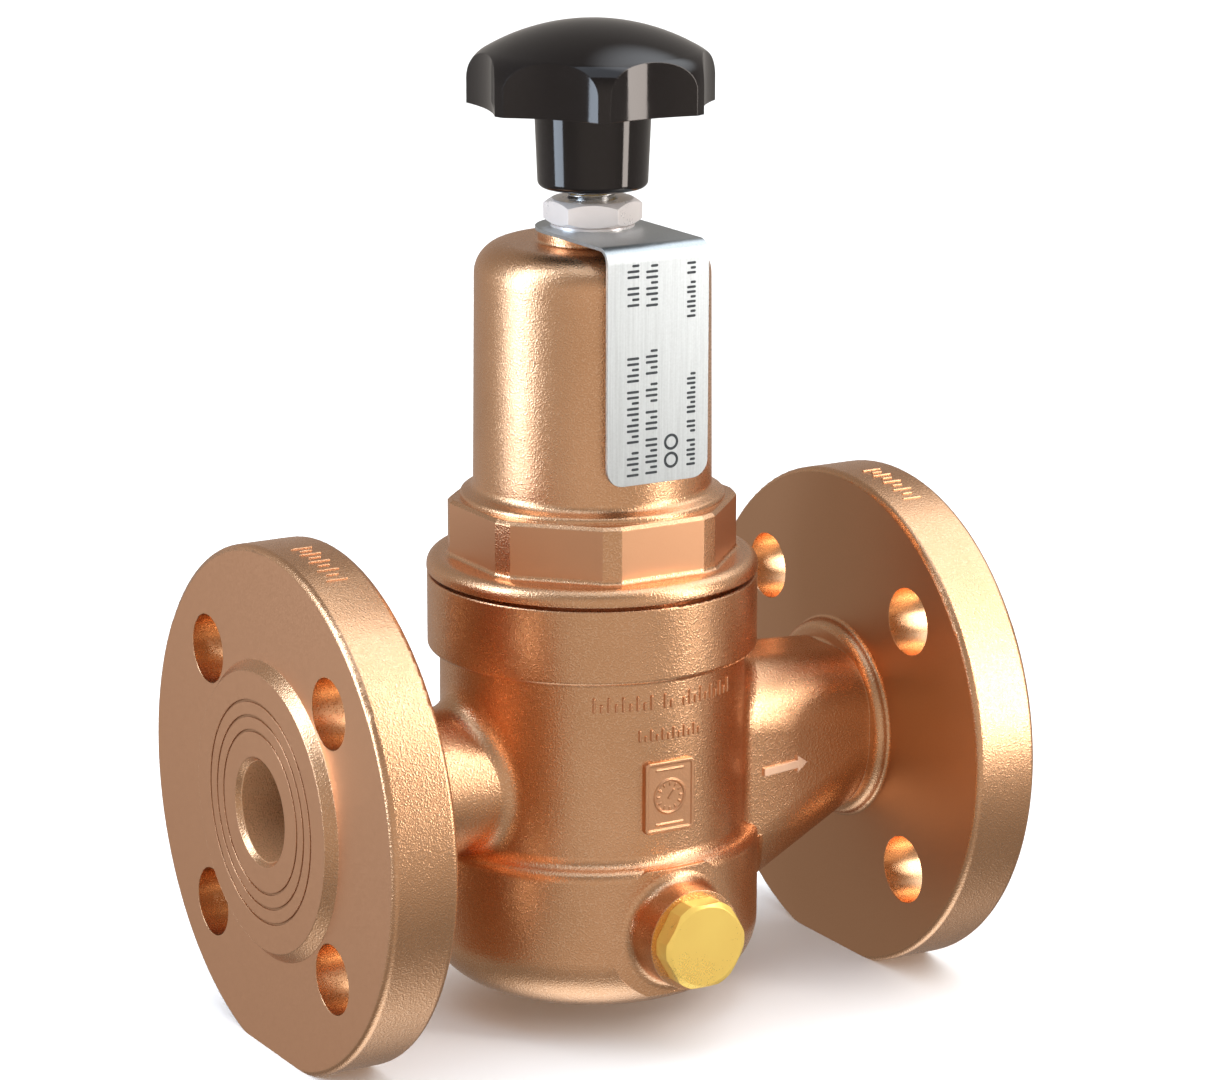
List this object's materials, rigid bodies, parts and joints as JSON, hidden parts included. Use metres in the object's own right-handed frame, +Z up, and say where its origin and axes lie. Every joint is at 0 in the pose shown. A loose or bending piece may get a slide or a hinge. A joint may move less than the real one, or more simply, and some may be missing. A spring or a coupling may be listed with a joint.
{
  "type": "pressure reducing valve",
  "caption": "Flanged pressure reducing valve with a spring bonnet, a star knob on a locked spindle, a diaphragm and a balanced single seat inside.",
  "frame": {"origin": "on the standing surface under the spindle axis; the pipe axis is 50 mm above it", "axes": "+X in the flow direction from the inlet flange to the outlet flange, +Z up along the spindle, -Y towards the side with the name plate"},
  "size_m": [0.15, 0.105, 0.2002],
  "materials": {
    "gunmetal": "fine sand-cast and blasted gunmetal, machined where it seals",
    "brass": "turned and lightly polished",
    "steel": "turned stainless",
    "plate_steel": "satin rolled strip with dark printing",
    "spring_steel": "drawn wire",
    "black_plastic": "moulded, polished",
    "rubber": "moulded elastomer",
    "slip_plastic": "smooth low-friction plastic"
  },
  "bodies": {
    "body": {"valve_body": "gunmetal", "spring_bonnet": "gunmetal", "name_plate": "plate_steel", "pressure_spring": "spring_steel", "diaphragm": "rubber", "slip_ring": "slip_plastic", "stem_guide": "brass", "guide_seal": "rubber", "seat_ring": "steel", "gauge_plug_front": "brass", "gauge_plug_rear": "brass", "gauge_plug_seal_front": "rubber", "gauge_plug_seal_rear": "rubber"},
    "valve_trim": {"valve_stem": "steel", "piston_seal": "rubber", "disc_holder": "brass", "disc_seal": "rubber", "seal_retainer": "steel", "disc_nut": "steel", "diaphragm_washer": "steel", "lower_spring_plate": "steel", "stem_nut": "steel"},
    "spring_plate": {"upper_spring_plate": "steel"},
    "adjuster": {"adjusting_screw": "steel", "knob_insert": "brass", "hand_knob": "black_plastic"},
    "nut_washer": {"lock_washer": "steel"},
    "nut": {"lock_nut": "steel"}
  },
  "joints": [
    {"name": "valve_lift", "type": "slide", "parent": "body", "child": "valve_trim", "axis": [0, 0, 1], "range_m": [0, 0.003], "stiffness_N_per_m": 3000, "springref_m": -0.002, "deforming": ["diaphragm", "pressure_spring"]},
    {"name": "setpoint_travel", "type": "slide", "parent": "body", "child": "spring_plate", "axis": [0, 0, 1], "range_m": [-0.001, 0.01], "deforming": ["pressure_spring"]},
    {"name": "knob_turn", "type": "hinge", "parent": "spring_plate", "child": "adjuster", "pos_m": [0, 0, 0.15], "axis": [0, 0, 1], "range_deg": [-240.5, 2400.5]},
    {"name": "lock_nut_travel", "type": "slide", "parent": "body", "child": "nut_washer", "axis": [0, 0, 1], "range_m": [0, 0.001]},
    {"name": "lock_nut_turn", "type": "hinge", "parent": "nut_washer", "child": "nut", "pos_m": [0, 0, 0.162], "axis": [0, 0, 1], "range_deg": [-0.5, 240.5]}
  ],
  "couplings": [
    {"joint": "knob_turn", "follows": "setpoint_travel", "rad_per_m": 4188.8},
    {"joint": "lock_nut_turn", "follows": "lock_nut_travel", "rad_per_m": 4188.8}
  ]
}
